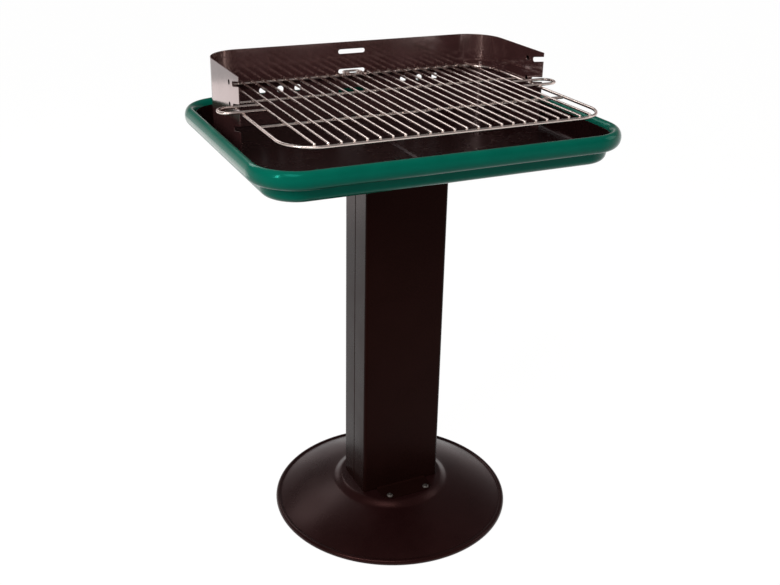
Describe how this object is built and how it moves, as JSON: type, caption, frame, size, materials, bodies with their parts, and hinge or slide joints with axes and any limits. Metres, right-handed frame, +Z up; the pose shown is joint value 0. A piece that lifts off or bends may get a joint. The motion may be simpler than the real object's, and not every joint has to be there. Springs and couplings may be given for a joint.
{
  "type": "pedestal charcoal barbecue",
  "caption": "Charcoal barbecue on a column and round foot: rectangular rolled-rim tray, slotted wind guard and a lift-out wire cooking grid.",
  "frame": {"origin": "on the ground under the middle of the round foot, at the bottom centre of the bounding box", "axes": "+Z up, +X along the tray's long side to the cook's right, +Y from the cook towards the back"},
  "size_m": [0.63, 0.47, 0.835],
  "materials": {
    "gloss_black": "gloss warm black paint",
    "black_enamel": "gloss black enamel",
    "green_enamel": "gloss dark green enamel",
    "chrome": "bright chrome plate",
    "zinc": "bright zinc plate"
  },
  "bodies": {
    "stand": {"base_dome": "gloss_black", "column_front_shell": "gloss_black", "column_rear_shell": "gloss_black", "tray": "green_enamel", "fire_pan": "black_enamel", "wind_guard": "black_enamel", "foot_screw_1": "zinc", "foot_nut_1": "zinc", "foot_screw_2": "zinc", "foot_nut_2": "zinc", "foot_screw_3": "zinc", "foot_nut_3": "zinc", "foot_screw_4": "zinc", "foot_nut_4": "zinc", "head_screw_1": "zinc", "head_nut_1": "zinc", "head_screw_2": "zinc", "head_nut_2": "zinc", "head_screw_3": "zinc", "head_nut_3": "zinc", "head_screw_4": "zinc", "head_nut_4": "zinc", "guard_screw_1": "zinc", "guard_nut_1": "zinc", "guard_screw_2": "zinc", "guard_nut_2": "zinc", "guard_screw_3": "zinc", "guard_nut_3": "zinc"},
    "grid": {"grid_frame": "chrome", "grid_bar_01": "chrome", "grid_bar_02": "chrome", "grid_bar_03": "chrome", "grid_bar_04": "chrome", "grid_bar_05": "chrome", "grid_bar_06": "chrome", "grid_bar_07": "chrome", "grid_bar_08": "chrome", "grid_bar_09": "chrome", "grid_bar_10": "chrome", "grid_bar_11": "chrome", "grid_bar_12": "chrome", "grid_bar_13": "chrome", "grid_bar_14": "chrome", "grid_bar_15": "chrome", "grid_bar_16": "chrome", "grid_bar_17": "chrome", "grid_bar_18": "chrome", "grid_bar_19": "chrome", "grid_bar_20": "chrome", "grid_bar_21": "chrome", "grid_bar_22": "chrome", "grid_bar_23": "chrome", "grid_bar_24": "chrome", "grid_cross_front": "chrome", "grid_cross_rear": "chrome", "grid_lug_left": "chrome", "grid_lug_right": "chrome", "grid_rear_hook": "chrome"}
  },
  "joints": [
    {"name": "grid_slide", "type": "slide", "parent": "stand", "child": "grid", "axis": [0, -0.9806, 0.1959], "range_m": [0, 0.06]}
  ]
}
